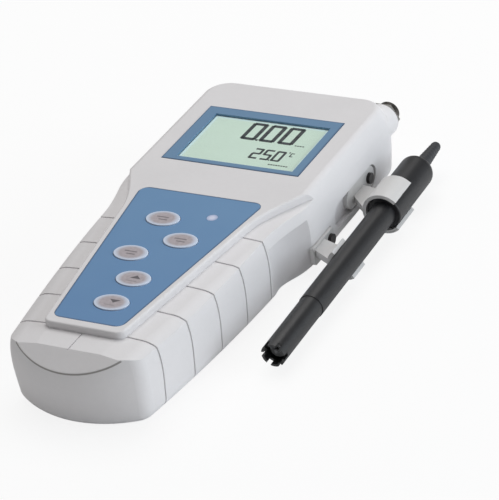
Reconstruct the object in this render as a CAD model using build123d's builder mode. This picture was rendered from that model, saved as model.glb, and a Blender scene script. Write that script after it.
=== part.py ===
"""Hand-held conductivity meter with its probe clipped to the side of the display head.

Millimetres. The origin is on the underside, below the middle of the meter. +X points to
the side that carries the probe, +Y to the display end and +Z up through the keypad.
"""

import os
from math import asin, cos, degrees, radians, sin, sqrt, tan

from build123d import *

os.makedirs("parts", exist_ok=True)

# Levels and walls of the two housings
face_height = 38.0
seam_height = 28.3
wall = 2.6
top_wall = 2.8
floor_wall = 2.4

# Outline of the body seen from above, at its widest level
nose_radius = 52.0
nose_reach = 120.2
nose_half = 33.2
nose_corner = 9.0
grip_middle = (39.9, -58.0)
grip_end = (43.4, -8.0)
neck_middle = (46.6, 11.5)
head_half = 49.4
head_front = 27.0
head_rear = 119.0
head_corner = 12.0
underside_round = 6.0

# How far the walls lean in at each level, from the underside to the face
wall_lean = {0.0: 1.0, 15.0: 0.0, seam_height: 0.3, face_height: 3.3}

# Raised panel: a tongue under the keypad that widens into the face of the head
keypad_front = -94.5
keypad_rear = 13.5
keypad_front_half = 17.1
keypad_rear_half = 32.1
keypad_corner = 4.5
keypad_thickness = 0.8
tongue_border = 3.0
tongue_front_border = 4.4
tongue_corner = 4.0
shoulder_start = -7.7
shoulder_middle = (37.1, 9.1)
shoulder_end = (46.1, 27.0)

# Crowned flanks beside the tongue: distance from its edge, and drop below the face
flank_edge = (-2.0, 3.4)
flank_middle = (8.0, 4.1)
flank_ridge = (15.0, 7.1)
flank_slope = 0.8
flank_overrun = 20.0

# Rounded edges of the upper housing
head_edge_round = 3.0
tongue_edge_round = 1.0

# Nose bevel, grip grooves and the open joint at the nose
bevel_top = (-110.5, 34.9)
bevel_foot = (-120.4, 28.3)
groove_first = -95.7
groove_pitch = 21.4
groove_count = 5
groove_width = 0.9
groove_depth = 0.8
groove_bottom = 2.0
nose_groove_width = 0.6
nose_groove_depth = 0.5
seam_gap = 0.7
seam_gap_rear = -104.0

# Waist scooped out under the neck
waist_points = ((49.0, -20.0), (41.6, -5.0), (39.3, 4.5), (42.2, 12.5), (51.0, 22.5))

# Seat for the upper probe clip in the side of the head
seat_floor = 46.4
seat_front = 45.0
seat_rear = 91.0
seat_height = 12.5
seat_level = 13.8

# Probe socket in the rear wall
socket_x = 41.0
socket_level = 25.0
socket_face = 119.8
socket_boss_radius = 8.4
socket_boss_root = 106.0
socket_radius = 5.9
socket_length = 8.0
socket_nose_radius = 5.5
socket_neck = 0.4
socket_collar_radius = 7.0
socket_collar = 2.5
socket_tail = 4.0
socket_bore = 4.6
socket_bore_depth = 7.0
socket_nut_width = 14.4
socket_nut_thickness = 2.4
socket_rim_round = 0.25
socket_pin_radius = 0.6
socket_pin_circle = 2.6
socket_pin_count = 4
socket_pin_tail = 3.0
socket_pin_reach = 4.0

# Housing screws, driven from the underside
screw_places = ((22.0, -104.0), (29.0, 0.0), (40.0, 98.5))
screw_radius = 1.45
screw_head_radius = 2.8
screw_head = 2.0
screw_seat = 9.0
screw_end = 32.6
screw_recess_radius = 1.5
base_boss_radius = 4.2
top_boss_radius = 3.6
boss_root = 1.6

# Display: opening, frame, lens and crystal
window_shift = 0.9
window_width = 61.2
window_length = 41.5
window_front = 42.9
frame_width = 71.8
frame_length = 50.9
frame_front = 39.7
frame_thickness = 1.0
frame_proud = 0.2
lens_thickness = 1.0
lcd_width = 68.0
lcd_length = 50.0
lcd_thickness = 2.6
lcd_gap = 0.2
holder_wall = 2.4
holder_window = (56.0, 36.0)
strip_width = 2.0
strip_length = 58.0
strip_offset = 21.5

# Circuit board
board_top = 29.0
board_thickness = 1.6
board_front = -92.0
board_rear = 94.0
board_front_half = 18.5
board_neck = (24.0, 12.0)
board_head_half = 44.6
board_head_front = 30.0
board_screw_places = ((15.0, -86.0), (20.0, -18.0), (41.5, 35.0), (41.5, 88.0))
board_boss_radius = 2.8
board_screw_radius = 1.1
board_screw_head_radius = 2.2
board_screw_head = 1.4
board_screw_end = 33.5

# Parts on the board: middle (X, Y) and size (X, Y, Z)
chips = {
    (-10.0, 14.0): (10.0, 10.0, 1.4),
    (8.0, 12.0): (5.0, 6.2, 1.6),
    (-9.0, -71.0): (6.2, 5.0, 1.6),
    (12.0, -50.0): (3.2, 1.6, 0.8),
    (12.0, -45.0): (3.2, 1.6, 0.8),
    (-14.0, -55.0): (1.6, 3.2, 0.8),
}
crystal_place = (-20.0, 26.0)
crystal_radius = 1.5
crystal_height = 4.0
led_radius = 1.5
led_height = 1.4

# Keys: width along X, length along Y, and places on the keypad
key_width = 16.7
key_length = 12.0
key_places = {
    "power_key": (-8.0, -10.2),
    "mode_key": (9.0, -25.1),
    "confirm_key": (-8.1, -40.3),
    "up_key": (3.6, -59.0),
    "down_key": (3.6, -78.6),
}
key_proud = 0.5
key_travel = 0.5
key_slack = 0.1
key_flange = 0.8
key_flange_rim = 1.2
key_edge_round = 0.3
key_stem_radius = 2.2
switch_size = 6.2
switch_height = 3.0
plunger_radius = 1.7
plunger_height = 0.7
light_place = (13.7, -3.4)
light_radius = 2.6
light_flange_radius = 3.6
light_flange = 1.0
light_bottom = 30.6

# Battery compartment in the underside of the head
cell_radius = 7.1
cell_length = 50.0
cell_count = 4
cell_pitch = 14.9
cell_bottom = 3.4
cell_nub = 1.0
cell_nub_radius = 2.7
bay_front = 37.0
bay_end_space = 2.0
bay_wall = 1.6
bay_height = 18.6
cover_thickness = 2.0
cover_gap = 0.2
cover_ledge = 3.0
cover_tail = 6.5
cover_screw_boss = 3.4
cover_screw_radius = 1.2
cover_screw_head_radius = 2.4
cover_screw_head = 1.2
cover_screw_end = 9.0
cover_corner = 3.0
cover_lip = 1.0
cover_lip_wall = 1.2
contact_thickness = 0.4
contact_width = 11.0
contact_height = 13.0
contact_tip_radius = 1.5
lead_radius = 0.6
lead_offset = 12.0

# Probe: its line passes the lower rim of the cap and rises towards the rear
rim_place = (67.4, 59.7, 11.6)
probe_rise = 1.3
tube_radius = 6.0
tube_bore = 4.9
tube_front = -79.2
tube_rear = 6.0
sleeve_front = -117.6
sleeve_radius = 5.7
sleeve_bore = 4.5
sleeve_overlap = 6.0
notch_count = 6
notch_width = 2.0
notch_depth = 3.0
cap_radius = 8.4
cap_length = 42.0
cap_round = 5.0
cap_front_round = 0.6
cap_shelf = 2.0
relief_length = 20.4
relief_root_radius = 3.4
relief_tip_radius = 2.1
relief_neck_radius = 3.0
relief_bore = 1.4
relief_seat = 4.0
relief_collar = 1.5
relief_grooves = 5
relief_groove = 0.8
relief_groove_pitch = 2.6
relief_groove_depth = 0.35
core_radius = 3.6
core_front = -113.0
core_rear = -66.0
ring_radius = 3.9
ring_inner = 3.2
ring_width = 3.0
ring_count = 3
ring_pitch = 7.0
ring_first = -110.0
thermistor_radius = 1.3
thermistor_length = 3.2
seal_thickness = 1.8

# Probe clips: rings, arms, and feet screwed to the side of the head
clip_wall = 1.7
clip_opening = 90.0
upper_clip_front = -1.2
upper_clip_rear = 16.8
lower_clip_front = -45.0
lower_clip_rear = -28.0
arm_thickness = 3.4
upper_arm_root = (68.5, 78.0)
lower_arm_root = (21.0, 31.0)
foot_thickness = 2.3
lower_seat_depth = 1.0
upper_foot = {
    "front": 60.0,
    "rear": 90.0,
    "level": seat_level,
    "height": 11.0,
    "corner": 5.0,
    "base": seat_floor,
    "screw": (84.0, seat_level),
}
lower_foot = {
    "front": 19.0,
    "rear": 40.0,
    "level": 9.0,
    "height": 9.0,
    "corner": 1.5,
    "base": head_half - lower_seat_depth,
    "screw": (36.0, 9.0),
}
clip_screw_radius = 1.2
clip_screw_head_radius = 2.7
clip_screw_head = 1.6
clip_screw_length = 5.5

# Clearances
fit = 0.2
rub = 0.25

# Worked out from the sizes above
bay_width = cell_pitch * cell_count
bay_rear = bay_front + cell_length + 2 * bay_end_space
cover_front = bay_front - cover_ledge
cover_rear = bay_rear + bay_wall + cover_tail
cover_width = bay_width + 2 * cover_ledge
cover_screw_y = bay_rear + bay_wall + cover_screw_boss + fit
ceiling = face_height - top_wall
keypad_seat = face_height - keypad_thickness
lens_top = face_height + frame_proud - frame_thickness
lens_floor = lens_top - lens_thickness
board_bottom = board_top - board_thickness
cover_middle = (cover_front + cover_rear) / 2
cover_top = cover_gap + cover_thickness
cell_level = cell_bottom + cell_radius
cell_xs = [cell_pitch * (i - (cell_count - 1) / 2) for i in range(cell_count)]
lead_places = [(side * lead_offset, bay_rear - bay_end_space / 2) for side in (1, -1)]
window_place = (window_shift, window_front + window_length / 2)
lcd_bottom = ceiling - lcd_gap - lcd_thickness
flange_top = ceiling - key_slack
key_stem_bottom = board_top + switch_height + plunger_height + key_travel + key_slack
groove_ys = [groove_first + groove_pitch * i for i in range(groove_count)]
probe_line = Plane(
    origin=rim_place,
    x_dir=(1, 0, 0),
    z_dir=(0, cos(radians(probe_rise)), sin(radians(probe_rise))),
)


def both_sides(places):
    """The places and their mirror images across the middle of the meter."""
    return [(side * x, y) for x, y in places for side in (1, -1)]


def body_plan(level, inset):
    """Outline of the body seen from above, let in by an amount, as a face at a level."""
    radius = nose_radius - inset
    centre_y = nose_radius - nose_reach
    corner_x = nose_half - inset
    corner_y = centre_y - sqrt(radius**2 - corner_x**2)
    with BuildSketch(Plane.XY.offset(level)) as plan:
        with BuildLine():
            nose = CenterArc((0, centre_y), radius, -90, degrees(asin(corner_x / radius)))
            side = ThreePointArc(
                nose @ 1,
                (grip_middle[0] - inset, grip_middle[1]),
                (grip_end[0] - inset, grip_end[1]),
            )
            neck = Spline(
                side @ 1,
                (neck_middle[0] - inset, neck_middle[1]),
                (head_half - inset, head_front),
                tangents=(side % 1, (0, 1)),
            )
            cheek = Line(neck @ 1, (head_half - inset, head_rear - inset - head_corner))
            corner = JernArc(cheek @ 1, (0, 1), head_corner, 90)
            Line(corner @ 1, (0, head_rear - inset))
            mirror(about=Plane.YZ)
        make_face()
        at_corner = plan.vertices().filter_by(lambda v: abs(v.Y - corner_y) < 0.01)
        fillet(at_corner, nose_corner)
    return plan.sketch


def tongue_edge(y):
    """Distance from the middle of the meter to the edge of the tongue."""
    lean = (keypad_rear_half - keypad_front_half) / (keypad_rear - keypad_front)
    return keypad_front_half + tongue_border + lean * (y - keypad_front)


def raised_panel(inset, rounding=0.0):
    """The tongue and the face of the head as a block, wide open round the head.

    It stands well above the face, or ends there with a rounded edge.
    """
    front_y = keypad_front - tongue_front_border + inset
    far_x = head_half + 30
    far_y = head_rear + 30
    with BuildPart() as panel:
        with BuildSketch() as plan:
            with BuildLine():
                front = Line((0, front_y), (tongue_edge(front_y) - inset, front_y))
                edge = Line(front @ 1, (tongue_edge(shoulder_start) - inset, shoulder_start))
                shoulder = Spline(
                    edge @ 1,
                    (shoulder_middle[0] - inset, shoulder_middle[1]),
                    (shoulder_end[0] - inset, shoulder_end[1]),
                    tangents=(edge % 1, (0.45, 1)),
                )
                outside = Line(shoulder @ 1, (far_x, head_front + 60))
                Polyline(outside @ 1, (far_x, far_y), (0, far_y))
                mirror(about=Plane.YZ)
            make_face()
            fillet(plan.vertices().group_by(Axis.Y)[0], tongue_corner - inset / 2)
        if rounding > 0:
            extrude(amount=face_height)
            fillet(panel.faces().sort_by(Axis.Z)[-1].edges(), rounding)
        else:
            extrude(amount=face_height + 20)
    return panel.part


def flank_cut(drop, inset):
    """What is cut away above the flanks, on both sides of the raised panel."""
    panel = raised_panel(inset, tongue_edge_round if drop == 0 else 0.0)
    rear = Vector(tongue_edge(head_front) - inset, head_front, 0)
    front = Vector(tongue_edge(-nose_reach) - inset, -nose_reach, 0)
    along = (front - rear).normalized()
    start = rear - along * flank_overrun
    reach = 60.0

    def below(point):
        return (point[0], face_height - point[1] - drop)

    with BuildPart() as cut:
        with BuildSketch(Plane(origin=start, x_dir=(-along.Y, along.X, 0), z_dir=along)):
            with BuildLine():
                middle = Line((-reach, below(flank_edge)[1]), below(flank_edge))
                flat = Line(middle @ 1, below(flank_middle))
                crown = TangentArc(flat @ 1, below(flank_ridge), tangent=flat % 1)
                fall = Line(crown @ 1, (crown @ 1) + Vector(reach, -reach * flank_slope))
                top = face_height + 10
                Polyline(fall @ 1, (flank_ridge[0] + reach, top), (-reach, top), middle @ 0)
            make_face()
        extrude(amount=(front - start).length + flank_overrun)
        mirror(about=Plane.YZ)
        add(panel, mode=Mode.SUBTRACT)
    return cut.part


def body_form(inset, floor, drop):
    """The whole body as one block, with its walls, underside and top let in."""
    sections = [body_plan(level, inset + lean) for level, lean in wall_lean.items()]
    flanks = flank_cut(drop, inset)
    with BuildPart() as body:
        loft(sections)
        if floor == 0:
            fillet(body.faces().sort_by(Axis.Z)[0].edges(), underside_round)
            fillet(body.faces().sort_by(Axis.Z)[-1].edges(), head_edge_round)
        add(flanks, mode=Mode.SUBTRACT)
        with BuildSketch(Plane.YZ):
            with BuildLine():
                run = Vector(*bevel_foot) - Vector(*bevel_top)
                lower = Vector(bevel_top[0] + inset, bevel_top[1] - drop) + run * 3
                upper = Vector(bevel_top[0] + inset, bevel_top[1] - drop) - run * 3
                Polyline(lower, upper, (lower.X, upper.Y), close=True)
            make_face()
        extrude(amount=nose_reach, both=True, mode=Mode.SUBTRACT)
        if floor > 0:
            with Locations((0, 0, floor)):
                Box(
                    2 * nose_reach, 3 * nose_reach, face_height - drop - floor,
                    align=(Align.CENTER, Align.CENTER, Align.MIN),
                    mode=Mode.INTERSECT,
                )
    return body.part


def waist_cut(margin):
    """The scoop under the neck, on both sides, made larger by a margin."""
    points = [(x - margin, y) for x, y in waist_points]
    reach = 30.0
    with BuildPart() as cut:
        with BuildSketch(Plane.XY.offset(-1)):
            with BuildLine():
                scoop = Spline(*points)
                rear = (points[-1][0] + reach, points[-1][1] + margin)
                front = (points[0][0] + reach, points[0][1] - margin)
                Polyline(scoop @ 1, rear, front, scoop @ 0)
            make_face()
        extrude(amount=seam_height + 1 + margin)
        mirror(about=Plane.YZ)
    return cut.part


def seat_cut(margin):
    """The seat of the upper probe clip, made larger by a margin."""
    with BuildPart() as cut:
        with BuildSketch(Plane.YZ.offset(seat_floor - margin)):
            with Locations(((seat_front + seat_rear) / 2, seat_level)):
                SlotOverall(seat_rear - seat_front + 2 * margin, seat_height + 2 * margin)
        extrude(amount=20)
    return cut.part


def grip_grooves(core):
    """Thin slots across the flanks and down both sides, down to a core block."""
    with BuildPart() as slots:
        with Locations([(0, y, groove_bottom) for y in groove_ys]):
            Box(4 * head_half, groove_width, face_height, align=(Align.CENTER, Align.CENTER, Align.MIN))
        add(core, mode=Mode.SUBTRACT)
    return slots.part


def socket_plane(y):
    """Plane across the line of the probe socket, facing the rear."""
    return Plane(origin=(socket_x, y, socket_level), x_dir=(1, 0, 0), z_dir=(0, 1, 0))


def socket_way(radius, front, rear):
    """A round block along the line of the probe socket."""
    with BuildPart() as way:
        with BuildSketch(socket_plane(front)):
            Circle(radius)
        extrude(amount=rear - front)
    return way.part


def lower_seat():
    """Flat seat for the foot of the lower probe clip in the side of the head."""
    with BuildPart() as cut:
        with BuildSketch(Plane.YZ.offset(lower_foot["base"])):
            with Locations(((lower_foot["front"] + lower_foot["rear"]) / 2, lower_foot["level"])):
                Rectangle(lower_foot["rear"] - lower_foot["front"] + 2 * fit, lower_foot["height"] + 2 * fit)
        extrude(amount=20)
    return cut.part


def across_head(place, radius, inner, outer):
    """A round block along X through the side wall of the head."""
    with BuildPart() as way:
        with BuildSketch(Plane.YZ.offset(inner)):
            with Locations(place):
                Circle(radius)
        extrude(amount=outer - inner)
    return way.part


def key_oval(margin):
    """Oval outline of a key, let out by a margin, around the origin."""
    with BuildSketch() as oval:
        Ellipse(key_width / 2 + margin, key_length / 2 + margin)
    return oval.sketch


def keypad_plan(margin):
    """Outline of the keypad, let out by a margin."""
    lean = (keypad_rear_half - keypad_front_half) / (keypad_rear - keypad_front)
    front = keypad_front - margin
    rear = keypad_rear + margin
    front_half = keypad_front_half + margin - lean * margin
    rear_half = keypad_rear_half + margin + lean * margin
    with BuildSketch() as plan:
        with BuildLine():
            Polyline((0, front), (front_half, front), (rear_half, rear), (0, rear))
            mirror(about=Plane.YZ)
        make_face()
        fillet(plan.vertices().filter_by(lambda v: abs(v.X) > 1), keypad_corner + margin)
    return plan.sketch


def outer_body():
    """The whole body as one block, with its rounded edges, waist and grooves."""
    with BuildPart() as kept:
        add(body_form(groove_depth, 0, groove_depth))
        add(raised_panel(0))
    with BuildPart() as body:
        add(body_form(0, 0, 0))
        add(waist_cut(0), mode=Mode.SUBTRACT)
        add(grip_grooves(kept.part), mode=Mode.SUBTRACT)
        groove_top = face_height - flank_edge[1]
        groove_run = keypad_front - tongue_front_border - bevel_top[0] + groove_width
        with Locations((0, keypad_front - tongue_front_border, groove_top - nose_groove_depth)):
            Box(
                nose_groove_width, groove_run, face_height - groove_top,
                align=(Align.CENTER, Align.MAX, Align.MIN),
                mode=Mode.SUBTRACT,
            )
    return body.part


def hollow_body():
    """Both housings in one, hollow, with every cut that crosses the joint between them."""
    with BuildPart() as space:
        add(body_form(wall, floor_wall, top_wall))
        add(waist_cut(wall), mode=Mode.SUBTRACT)
        add(seat_cut(wall), mode=Mode.SUBTRACT)
    collar_end = socket_boss_root + socket_tail + socket_collar
    with BuildPart() as body:
        add(outer_body())
        add(space.part, mode=Mode.SUBTRACT)
        add(seat_cut(0), mode=Mode.SUBTRACT)
        add(lower_seat(), mode=Mode.SUBTRACT)
        add(socket_way(socket_boss_radius, socket_boss_root, socket_face))
        add(socket_way(socket_radius + fit / 2, socket_boss_root - 1, socket_face + 1), mode=Mode.SUBTRACT)
        add(socket_way(socket_collar_radius + fit, socket_boss_root - 1, collar_end), mode=Mode.SUBTRACT)
        for place in (upper_foot["screw"], lower_foot["screw"]):
            pilot = clip_screw_radius + fit / 2
            add(across_head(place, pilot, seat_floor - wall - 1, head_half + 1), mode=Mode.SUBTRACT)
    return body.part


def discs(places, radius, bottom, top):
    """Upright round blocks at each of the places."""
    with BuildPart() as group:
        with BuildSketch(Plane.XY.offset(bottom)):
            with Locations(*places):
                Circle(radius)
        extrude(amount=top - bottom)
    return group.part


def along_probe(outer, inner, front, rear):
    """A tube, or a rod where the inner radius is nought, on the line of the probe."""
    with BuildPart() as tube:
        with BuildSketch(probe_line.offset(front)):
            Circle(outer)
            if inner > 0:
                Circle(inner, mode=Mode.SUBTRACT)
        extrude(amount=rear - front)
    return tube.part


def save(node, name):
    """Labels a finished node and writes it out."""
    node.part.label = name
    export_step(node.part, f"parts/{name}.step")


body = hollow_body()
screw_holes = both_sides(screw_places)
board_screw_holes = both_sides(board_screw_places)

# Bosses under the top for the housing screws, kept below the flanks
with BuildPart() as bosses:
    add(discs(screw_holes, top_boss_radius, seam_height, ceiling + boss_root))
    add(flank_cut(top_wall - boss_root, 0), mode=Mode.SUBTRACT)
screw_bosses = bosses.part

# Upper housing: bosses, seat of the display, seat of the keypad and ways for the keys
with BuildPart() as top_housing:
    add(body)
    split(bisect_by=Plane.XY.offset(seam_height), keep=Keep.TOP)
    add(screw_bosses)
    add(discs(board_screw_holes, board_boss_radius, board_top, ceiling + boss_root))
    add(discs(screw_holes, screw_radius + fit / 2, seam_height, screw_end + fit), mode=Mode.SUBTRACT)
    pilots = discs(board_screw_holes, board_screw_radius + fit / 2, board_top, board_screw_end + fit)
    add(pilots, mode=Mode.SUBTRACT)
    with BuildSketch(Plane.XY.offset(face_height)):
        with Locations((0, frame_front + frame_length / 2)):
            Rectangle(frame_width + 2 * fit, frame_length + 2 * fit)
    extrude(amount=lens_floor - face_height, mode=Mode.SUBTRACT)
    with BuildSketch(Plane.XY.offset(face_height)):
        with Locations((window_shift, window_front + window_length / 2)):
            Rectangle(window_width + 2 * fit, window_length + 2 * fit)
    extrude(amount=ceiling - face_height - 1, mode=Mode.SUBTRACT)
    add(Pos(0, 0, face_height) * keypad_plan(fit))
    extrude(amount=-keypad_thickness, mode=Mode.SUBTRACT)
    with BuildSketch(Plane.XY.offset(face_height)):
        with Locations(*key_places.values()):
            add(key_oval(rub))
        with Locations(light_place):
            Circle(light_radius + fit / 2)
    extrude(amount=ceiling - face_height - 1, mode=Mode.SUBTRACT)
save(top_housing, "top_housing")

# Lower housing: screw bosses, battery bay and seat of the battery cover
bay_middle = (bay_front + bay_rear) / 2
with BuildPart() as base_housing:
    add(body)
    split(bisect_by=Plane.XY.offset(seam_height), keep=Keep.BOTTOM)
    add(discs(screw_holes, base_boss_radius, floor_wall - 1, seam_height))
    add(discs(screw_holes, screw_radius + fit / 2, 0, seam_height), mode=Mode.SUBTRACT)
    add(discs(screw_holes, screw_head_radius + fit, 0, screw_seat), mode=Mode.SUBTRACT)
    with BuildSketch(Plane.XY):
        with Locations((0, bay_middle)):
            Rectangle(bay_width + 2 * bay_wall, bay_rear - bay_front + 2 * bay_wall)
        with Locations((0, cover_screw_y)):
            Circle(cover_screw_boss)
    extrude(amount=bay_height + bay_wall)
    with BuildSketch(Plane.XY):
        with Locations((0, bay_middle)):
            Rectangle(bay_width, bay_rear - bay_front)
    extrude(amount=bay_height, mode=Mode.SUBTRACT)
    with BuildSketch(Plane.XY):
        with Locations((0, cover_middle)):
            RectangleRounded(cover_width + 2 * fit, cover_rear - cover_front + 2 * fit, cover_corner + fit)
    extrude(amount=cover_thickness + cover_gap, mode=Mode.SUBTRACT)
    add(discs([(0, cover_screw_y)], cover_screw_radius + fit, 0, cover_screw_end + 1), mode=Mode.SUBTRACT)
    add(discs(lead_places, lead_radius + fit, bay_height - 1, bay_height + bay_wall + 1), mode=Mode.SUBTRACT)
    # The open joint at the nose
    with BuildSketch(Plane.XY.offset(seam_height)):
        make_face(body_plan(0, wall_lean[seam_height]).edges())
        make_face(body_plan(0, wall_lean[seam_height] + seam_gap).edges(), mode=Mode.SUBTRACT)
        with Locations((0, (head_rear + seam_gap_rear) / 2)):
            Rectangle(3 * head_half, head_rear - seam_gap_rear, mode=Mode.SUBTRACT)
    extrude(amount=-seam_gap, mode=Mode.SUBTRACT)
save(base_housing, "base_housing")

# Keypad overlay, with openings for the keys and the light
with BuildPart() as keypad_overlay:
    with BuildSketch(Plane.XY.offset(keypad_seat)):
        add(keypad_plan(0))
        with Locations(*key_places.values()):
            add(key_oval(rub), mode=Mode.SUBTRACT)
        with Locations(light_place):
            Circle(light_radius + fit / 2, mode=Mode.SUBTRACT)
    extrude(amount=keypad_thickness)
save(keypad_overlay, "keypad_overlay")

# Five keys, each held under the top by a rim and pressing its switch with a stem
for key_name, key_place in key_places.items():
    with BuildPart() as key:
        with BuildSketch(Plane.XY.offset(flange_top - key_flange)):
            with Locations(key_place):
                add(key_oval(key_flange_rim))
        extrude(amount=key_flange)
        with BuildSketch(Plane.XY.offset(flange_top)):
            with Locations(key_place):
                add(key_oval(0))
        extrude(amount=face_height + key_proud - flange_top)
        fillet(key.faces().sort_by(Axis.Z)[-1].edges(), key_edge_round)
        add(discs([key_place], key_stem_radius, key_stem_bottom, flange_top))
    save(key, key_name)

# Switches on the board under the keys
with BuildPart() as key_switches:
    with BuildSketch(Plane.XY.offset(board_top)):
        with Locations(*key_places.values()):
            Rectangle(switch_size, switch_size)
    extrude(amount=switch_height)
    plunger_top = board_top + switch_height + plunger_height
    add(discs(key_places.values(), plunger_radius, board_top, plunger_top))
save(key_switches, "key_switches")

# Status light: a clear pipe with a rim under the top
with BuildPart() as status_light:
    add(discs([light_place], light_radius, light_bottom, face_height))
    add(discs([light_place], light_flange_radius, ceiling - light_flange, ceiling))
save(status_light, "status_light")

# Display: frame, lens, glass panel, holder and contact strips
with BuildPart() as window_frame:
    with BuildSketch(Plane.XY.offset(lens_top)):
        with Locations((0, frame_front + frame_length / 2)):
            Rectangle(frame_width, frame_length)
        with Locations(window_place):
            Rectangle(window_width, window_length, mode=Mode.SUBTRACT)
    extrude(amount=frame_thickness)
save(window_frame, "window_frame")

with BuildPart() as window_lens:
    with BuildSketch(Plane.XY.offset(lens_floor)):
        with Locations((0, frame_front + frame_length / 2)):
            Rectangle(frame_width, frame_length)
    extrude(amount=lens_thickness)
save(window_lens, "window_lens")

with BuildPart() as lcd_panel:
    with BuildSketch(Plane.XY.offset(lcd_bottom)):
        with Locations(window_place):
            Rectangle(lcd_width, lcd_length)
    extrude(amount=lcd_thickness)
save(lcd_panel, "lcd_panel")

strip_places = [
    (window_place[0], window_place[1] + strip_offset),
    (window_place[0], window_place[1] - strip_offset),
]
with BuildPart() as lcd_holder:
    with BuildSketch(Plane.XY.offset(board_top)):
        with Locations(window_place):
            rim = 2 * (fit + holder_wall)
            Rectangle(lcd_width + rim, lcd_length + rim)
            Rectangle(*holder_window, mode=Mode.SUBTRACT)
        with Locations(*strip_places):
            Rectangle(strip_length + 2 * fit, strip_width + 2 * fit, mode=Mode.SUBTRACT)
    extrude(amount=ceiling - board_top)
    with BuildSketch(Plane.XY.offset(lcd_bottom)):
        with Locations(window_place):
            Rectangle(lcd_width + 2 * fit, lcd_length + 2 * fit)
    extrude(amount=ceiling - lcd_bottom, mode=Mode.SUBTRACT)
save(lcd_holder, "lcd_holder")

with BuildPart() as lcd_strips:
    with BuildSketch(Plane.XY.offset(board_top)):
        with Locations(*strip_places):
            Rectangle(strip_length, strip_width)
    extrude(amount=lcd_bottom - board_top)
save(lcd_strips, "lcd_strips")

# Circuit board, its parts and its screws
with BuildPart() as circuit_board:
    with BuildSketch(Plane.XY.offset(board_bottom)):
        with BuildLine():
            Polyline(
                (0, board_front),
                (board_front_half, board_front),
                board_neck,
                (board_head_half, board_head_front),
                (board_head_half, board_rear),
                (0, board_rear),
            )
            mirror(about=Plane.YZ)
        make_face()
        with Locations(*board_screw_holes):
            Circle(board_screw_radius + fit, mode=Mode.SUBTRACT)
    extrude(amount=board_thickness)
save(circuit_board, "circuit_board")

with BuildPart() as board_chips:
    for place, size in chips.items():
        with BuildSketch(Plane.XY.offset(board_top)):
            with Locations(place):
                Rectangle(size[0], size[1])
        extrude(amount=size[2])
    add(discs([crystal_place], crystal_radius, board_top, board_top + crystal_height))
    add(discs([light_place], led_radius, board_top, board_top + led_height))
save(board_chips, "board_chips")

with BuildPart() as board_screws:
    add(discs(board_screw_holes, board_screw_head_radius, board_bottom - board_screw_head, board_bottom))
    add(discs(board_screw_holes, board_screw_radius, board_bottom, board_screw_end))
save(board_screws, "board_screws")

# Housing screws, with their heads sunk in the underside
with BuildPart() as housing_screws:
    add(discs(screw_holes, screw_head_radius, screw_seat - screw_head, screw_seat))
    add(discs(screw_holes, screw_radius, screw_seat, screw_end))
    add(discs(screw_holes, screw_recess_radius, 0, screw_seat - screw_head / 2), mode=Mode.SUBTRACT)
save(housing_screws, "housing_screws")

# Battery cover with a lip inside the bay, and its screw
with BuildPart() as battery_cover:
    with BuildSketch(Plane.XY.offset(cover_gap)):
        with Locations((0, cover_middle)):
            RectangleRounded(cover_width, cover_rear - cover_front, cover_corner)
    extrude(amount=cover_thickness)
    with BuildSketch(Plane.XY.offset(cover_top)):
        with Locations((0, bay_middle)):
            lip_size = (bay_width - 2 * rub, bay_rear - bay_front - 2 * rub)
            Rectangle(*lip_size)
            Rectangle(lip_size[0] - 2 * cover_lip_wall, lip_size[1] - 2 * cover_lip_wall, mode=Mode.SUBTRACT)
    extrude(amount=cover_lip)
    add(discs([(0, cover_screw_y)], cover_screw_radius, 0, cover_top), mode=Mode.SUBTRACT)
    head_seat = discs([(0, cover_screw_y)], cover_screw_head_radius + fit, 0, cover_gap + cover_screw_head)
    add(head_seat, mode=Mode.SUBTRACT)
save(battery_cover, "battery_cover")

with BuildPart() as cover_screw:
    add(discs([(0, cover_screw_y)], cover_screw_head_radius, cover_gap, cover_gap + cover_screw_head))
    add(discs([(0, cover_screw_y)], cover_screw_radius, cover_gap, cover_screw_end))
    recess = discs([(0, cover_screw_y)], cover_screw_radius / 2, 0, cover_gap + cover_screw_head / 2)
    add(recess, mode=Mode.SUBTRACT)
save(cover_screw, "cover_screw")

# Four cells side by side, turned about end for end
with BuildPart() as battery_cells:
    for i, cell_x in enumerate(cell_xs):
        facing = 1 if i % 2 else -1
        with BuildSketch(Plane((cell_x, bay_middle, cell_level), x_dir=(1, 0, 0), z_dir=(0, facing, 0))):
            Circle(cell_radius)
        extrude(amount=cell_length / 2 - cell_nub)
        with BuildSketch(Plane((cell_x, bay_middle, cell_level), x_dir=(1, 0, 0), z_dir=(0, -facing, 0))):
            Circle(cell_radius)
        extrude(amount=cell_length / 2)
        with BuildSketch(Plane((cell_x, bay_middle, cell_level), x_dir=(1, 0, 0), z_dir=(0, facing, 0))):
            Circle(cell_nub_radius)
        extrude(amount=cell_length / 2)
save(battery_cells, "battery_cells")

# Spring plates at both ends of every cell, and the leads up to the board
with BuildPart() as battery_contacts:
    for end in (1, -1):
        wall_y = bay_middle + end * (bay_rear - bay_front) / 2
        faces_cell = Plane((0, wall_y, 0), x_dir=(1, 0, 0), z_dir=(0, -end, 0))
        side = -1 if faces_cell.y_dir.Z < 0 else 1
        with BuildSketch(faces_cell):
            with Locations(*[(cell_x, side * cell_level) for cell_x in cell_xs]):
                Rectangle(contact_width, contact_height)
        extrude(amount=contact_thickness)
        with BuildSketch(faces_cell.offset(contact_thickness)):
            with Locations(*[(cell_x, side * cell_level) for cell_x in cell_xs]):
                Circle(contact_tip_radius)
        extrude(amount=bay_end_space - contact_thickness)
save(battery_contacts, "battery_contacts")

with BuildPart() as battery_leads:
    add(discs(lead_places, lead_radius, cell_level + contact_height / 2, board_bottom))
save(battery_leads, "battery_leads")

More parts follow.
